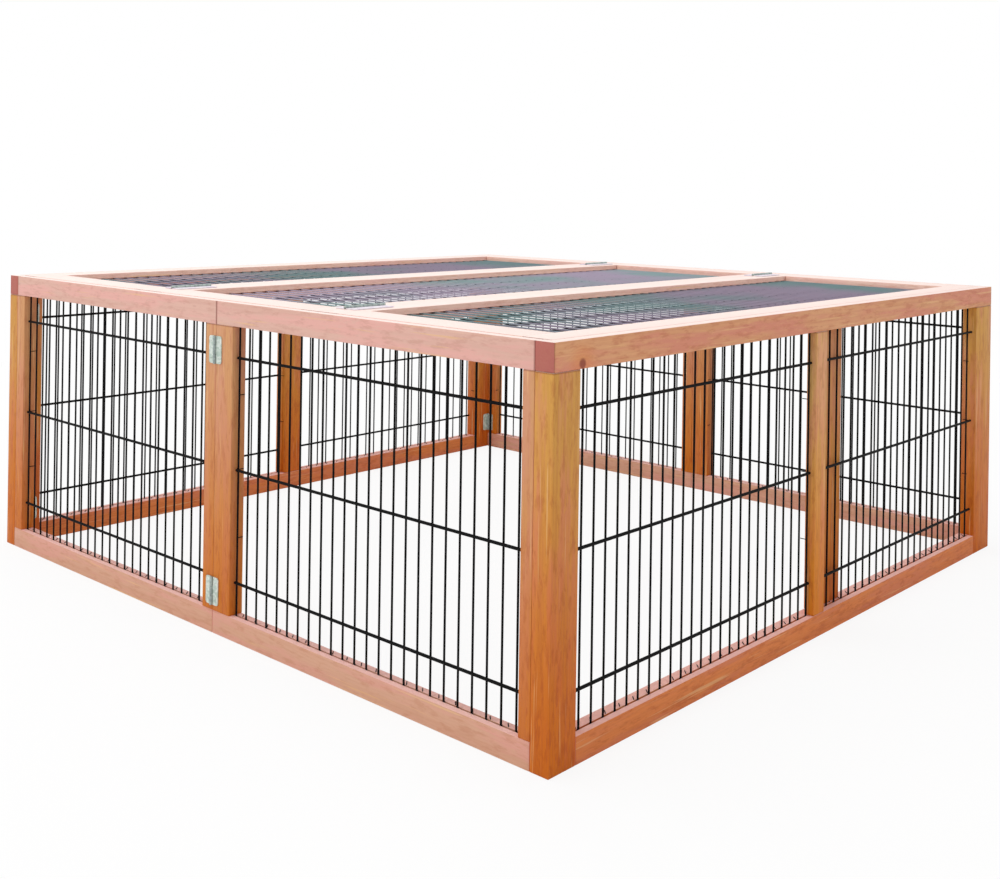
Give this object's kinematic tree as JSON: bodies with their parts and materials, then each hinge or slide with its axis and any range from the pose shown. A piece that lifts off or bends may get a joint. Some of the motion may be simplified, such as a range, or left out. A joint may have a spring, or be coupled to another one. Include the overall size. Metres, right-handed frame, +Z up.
{
  "type": "small animal run",
  "caption": "Folding wooden run for small animals, with black wire mesh walls and a hinged three-lid mesh cover that lifts off.",
  "frame": {"origin": "middle of the footprint on the ground", "axes": "+Z up, -Y towards the front pair of panels, +X along the front, so that the nearest corner in the picture is at +X -Y"},
  "size_m": [1.2, 1.2094, 0.4597],
  "materials": {
    "rail_wood": "pinkish fir, clear coated",
    "post_wood": "orange fir, clear coated",
    "lid_wood": "pale fir, clear coated",
    "wire": "black coated steel wire",
    "zinc": "zinc plated, dull"
  },
  "bodies": {
    "left_side": {"left_top_rail": "rail_wood", "left_bottom_rail": "rail_wood", "left_front_post": "post_wood", "left_back_post": "post_wood", "left_centre_stile": "post_wood", "left_front_mesh": "wire", "left_back_mesh": "wire", "front_left_corner_upper_hinge_post_leaf": "zinc", "front_left_corner_lower_hinge_post_leaf": "zinc", "back_left_corner_upper_hinge_post_leaf": "zinc", "back_left_corner_lower_hinge_post_leaf": "zinc"},
    "front_left": {"front_left_frame": "rail_wood", "front_left_mesh": "wire", "front_left_corner_upper_hinge_panel_leaf": "zinc", "front_seam_upper_hinge_left_leaf": "zinc", "front_left_corner_lower_hinge_panel_leaf": "zinc", "front_seam_lower_hinge_left_leaf": "zinc"},
    "front_right": {"front_right_frame": "rail_wood", "front_right_mesh": "wire", "front_right_corner_upper_hinge_panel_leaf": "zinc", "front_seam_upper_hinge_right_leaf": "zinc", "front_right_corner_lower_hinge_panel_leaf": "zinc", "front_seam_lower_hinge_right_leaf": "zinc"},
    "right_side": {"right_top_rail": "rail_wood", "right_bottom_rail": "rail_wood", "right_front_post": "post_wood", "right_back_post": "post_wood", "right_centre_stile": "post_wood", "right_front_mesh": "wire", "right_back_mesh": "wire", "front_right_corner_upper_hinge_post_leaf": "zinc", "front_right_corner_lower_hinge_post_leaf": "zinc", "back_right_corner_upper_hinge_post_leaf": "zinc", "back_right_corner_lower_hinge_post_leaf": "zinc"},
    "back_left": {"back_left_frame": "rail_wood", "back_left_mesh": "wire", "back_left_corner_upper_hinge_panel_leaf": "zinc", "back_seam_upper_hinge_left_leaf": "zinc", "back_left_corner_lower_hinge_panel_leaf": "zinc", "back_seam_lower_hinge_left_leaf": "zinc"},
    "back_right": {"back_right_frame": "rail_wood", "back_right_mesh": "wire", "back_right_corner_upper_hinge_panel_leaf": "zinc", "back_seam_upper_hinge_right_leaf": "zinc", "back_right_corner_lower_hinge_panel_leaf": "zinc", "back_seam_lower_hinge_right_leaf": "zinc"},
    "cover": {"middle_lid_frame": "lid_wood", "middle_lid_mesh": "wire", "cover_left_front_hinge_middle_leaf": "zinc", "cover_right_front_hinge_middle_leaf": "zinc", "cover_left_back_hinge_middle_leaf": "zinc", "cover_right_back_hinge_middle_leaf": "zinc"},
    "lid_left": {"left_lid_frame": "lid_wood", "left_lid_mesh": "wire", "cover_left_front_hinge_lid_leaf": "zinc", "cover_left_back_hinge_lid_leaf": "zinc"},
    "lid_right": {"right_lid_frame": "lid_wood", "right_lid_mesh": "wire", "cover_right_front_hinge_lid_leaf": "zinc", "cover_right_back_hinge_lid_leaf": "zinc"}
  },
  "joints": [
    {"name": "fold", "type": "hinge", "parent": "left_side", "child": "front_left", "pos_m": [-0.5715, -0.5755, 0], "axis": [0, 0, 1], "range_deg": [0, 90]},
    {"name": "front_seam", "type": "hinge", "parent": "front_left", "child": "front_right", "pos_m": [0, -0.6025, 0], "axis": [0, 0, 1], "range_deg": [-180, 0]},
    {"name": "front_right_corner", "type": "hinge", "parent": "front_right", "child": "right_side", "pos_m": [0.5715, -0.5755, 0], "axis": [0, 0, 1], "range_deg": [0, 90]},
    {"name": "back_left_corner", "type": "hinge", "parent": "left_side", "child": "back_left", "pos_m": [-0.5715, 0.5755, 0], "axis": [0, 0, 1], "range_deg": [-90, 0]},
    {"name": "back_seam", "type": "hinge", "parent": "back_left", "child": "back_right", "pos_m": [0, 0.6025, 0], "axis": [0, 0, 1], "range_deg": [0, 180]},
    {"name": "cover_lift", "type": "slide", "parent": "left_side", "child": "cover", "axis": [0, 0, 1], "range_m": [0, 1.18]},
    {"name": "left_lid_swing", "type": "hinge", "parent": "cover", "child": "lid_left", "pos_m": [-0.2, 0, 0.4575], "axis": [0, 1, 0], "range_deg": [0, 100]},
    {"name": "right_lid_swing", "type": "hinge", "parent": "cover", "child": "lid_right", "pos_m": [0.2, 0, 0.4575], "axis": [0, -1, 0], "range_deg": [0, 175]}
  ],
  "couplings": [
    {"joint": "front_seam", "follows": "fold", "ratio": -2},
    {"joint": "front_right_corner", "follows": "fold", "ratio": 1},
    {"joint": "back_left_corner", "follows": "fold", "ratio": -1},
    {"joint": "back_seam", "follows": "fold", "ratio": 2},
    {"joint": "cover_lift", "follows": "fold", "m_per_rad": 0.75}
  ]
}
